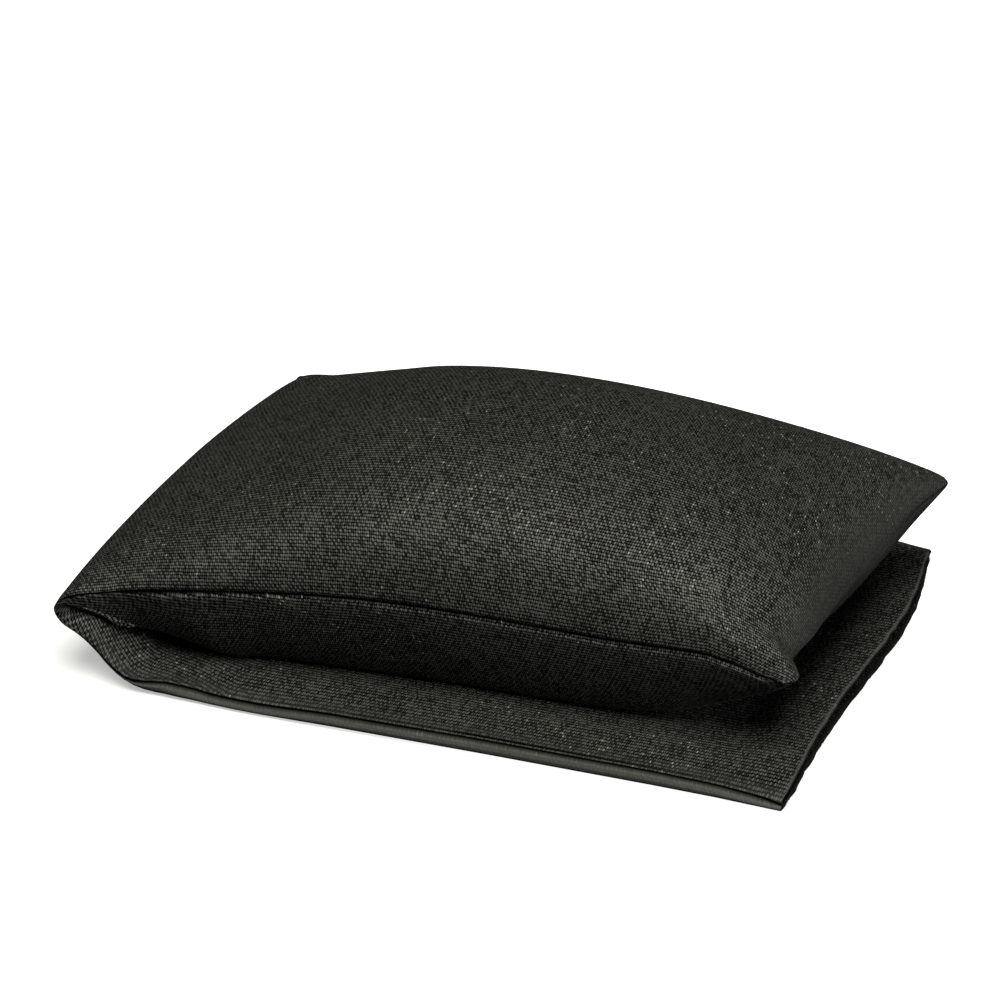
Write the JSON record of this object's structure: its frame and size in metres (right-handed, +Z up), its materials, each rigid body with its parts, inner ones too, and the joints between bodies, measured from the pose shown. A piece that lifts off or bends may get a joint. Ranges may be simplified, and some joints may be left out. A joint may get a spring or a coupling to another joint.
{
  "type": "eye pillow",
  "caption": "Soft eye pillow: a long linen sleeve whose closed half holds a loose pouch of seeds, with its empty, open half folded under as a flat flap.",
  "frame": {"origin": "middle of the part's box, on the surface that it lies on", "axes": "+X along the flap from the fold to the open mouth, +Y across the sleeve from its front edge to its back edge, +Z up"},
  "size_m": [0.1989, 0.1234, 0.0622],
  "materials": {
    "linen": "coarse plain weave, matt, near black",
    "sewing_thread": "matt sewing thread",
    "cotton": "plain unbleached cotton",
    "seeds": "smooth brown flax seeds"
  },
  "bodies": {
    "flap": {"flap_lower_layer": "linen", "flap_upper_layer": "linen", "flap_front_seam": "linen", "flap_back_seam": "linen", "lower_mouth_hem": "linen", "upper_mouth_hem": "linen", "lower_hem_stitches": "sewing_thread", "upper_hem_stitches": "sewing_thread", "turn_outer_layer": "linen", "turn_inner_layer": "linen", "turn_front_seam": "linen", "turn_back_seam": "linen"},
    "pillow": {"cover_top_panel": "linen", "cover_under_panel": "linen", "cover_front_seam": "linen", "cover_back_seam": "linen"},
    "insert": {"pouch_top_panel": "cotton", "pouch_under_panel": "cotton", "pouch_closing_stitches": "sewing_thread", "seed_fill": "seeds"}
  },
  "joints": [
    {"name": "fold", "type": "hinge", "parent": "flap", "child": "pillow", "pos_m": [-0.0879, 0, 0.0313], "axis": [-0.0715, -0.9974, 0], "range_deg": [0, 180], "deforming": ["turn_outer_layer", "turn_inner_layer", "turn_front_seam", "turn_back_seam"]},
    {"name": "insert_slide", "type": "slide", "parent": "pillow", "child": "insert", "axis": [-1, 0, 0], "range_m": [0, 0.005]}
  ]
}
